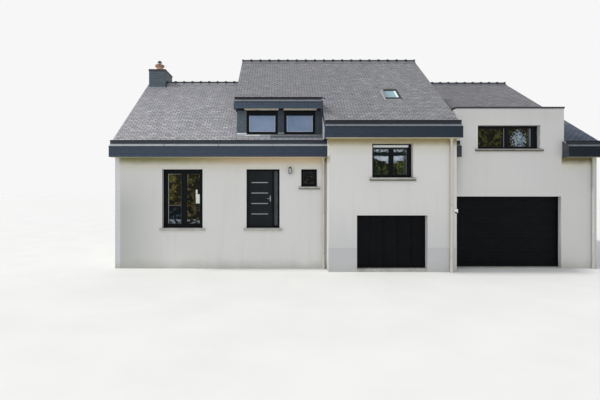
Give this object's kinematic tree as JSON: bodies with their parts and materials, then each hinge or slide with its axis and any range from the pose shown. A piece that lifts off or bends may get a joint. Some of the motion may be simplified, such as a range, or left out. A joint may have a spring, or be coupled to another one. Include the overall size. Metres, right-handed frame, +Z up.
{
  "type": "detached house",
  "caption": "Split-level detached house with slate roofs at three heights, a dormer, a flat-roofed bay, garage doors, a glazed double door and a front door that open.",
  "frame": {"origin": "middle of the house in plan, gutters and verges included, at the level of the drive", "axes": "+X along the front from left to right seen from the drive, +Y from the front to the rear, +Z up"},
  "size_m": [18.03, 13.78, 9.105],
  "materials": {
    "render": "fine off-white render",
    "concrete": "smooth pale concrete",
    "slates": "natural slates, slightly bluish grey",
    "dark_slates": "dark slate cladding",
    "zinc": "light zinc sheet",
    "cream_paint": "cream painted boards and pipes",
    "anthracite": "near-black satin powder coat",
    "roof_metal": "dark grey sheet metal",
    "ridge_clay": "dark ridge tiles",
    "terracotta": "matt red clay",
    "steel": "brushed steel",
    "glass": "clear double glazing with a slight tint",
    "lamp": "grey lamp housings"
  },
  "bodies": {
    "house": {"front_wall_base": "render", "front_wall_piers": "render", "front_wall_bands": "render", "front_wall_infills": "render", "front_wall_tops": "render", "rear_wall_base": "render", "rear_wall_piers": "render", "rear_wall_tops": "render", "left_gable_wall": "render", "middle_left_wall": "render", "middle_right_wall": "render", "wing_left_wall": "render", "right_gable_wall": "render", "tall_left_wall": "dark_slates", "bay_side_walls": "render", "ground_floors": "concrete", "upper_floors": "concrete", "left_roof_front": "slates", "left_roof_rear": "slates", "tall_roof_front": "slates", "tall_roof_rear": "slates", "wing_roof_front": "slates", "wing_roof_rear": "slates", "lower_roof_strips": "slates", "middle_roof_cheek": "dark_slates", "dormer_piers": "dark_slates", "dormer_sill_wall": "dark_slates", "dormer_roof": "zinc", "bay_roof": "zinc", "bay_coping": "roof_metal", "fascias": "dark_slates", "soffits": "cream_paint", "gutters": "zinc", "barge_boards": "dark_slates", "ridge_tiles": "ridge_clay", "chimney_stack": "dark_slates", "chimney_pot": "terracotta", "skylight": "roof_metal", "window_frames": "anthracite", "window_glass": "glass", "sills": "concrete", "small_garage_door": "anthracite", "wide_garage_door": "anthracite", "front_door_frame": "anthracite", "french_window_frame": "anthracite", "downpipes": "cream_paint", "wall_lights": "lamp"},
    "front_door": {"front_door_leaf": "anthracite", "front_door_fittings": "steel"},
    "french_left": {"french_leaf_left": "anthracite", "french_glass_left": "glass"},
    "french_right": {"french_leaf_right": "anthracite", "french_glass_right": "glass"}
  },
  "joints": [
    {"name": "front_door_hinge", "type": "hinge", "parent": "house", "child": "front_door", "pos_m": [-4.015, -5.59, 2.485], "axis": [0, 0, 1], "range_deg": [0, 95]},
    {"name": "french_left_hinge", "type": "hinge", "parent": "house", "child": "french_left", "pos_m": [-7.135, -5.59, 2.485], "axis": [0, 0, 1], "range_deg": [0, 95]},
    {"name": "french_right_hinge", "type": "hinge", "parent": "house", "child": "french_right", "pos_m": [-5.735, -5.59, 2.485], "axis": [0, 0, -1], "range_deg": [0, 95]}
  ]
}
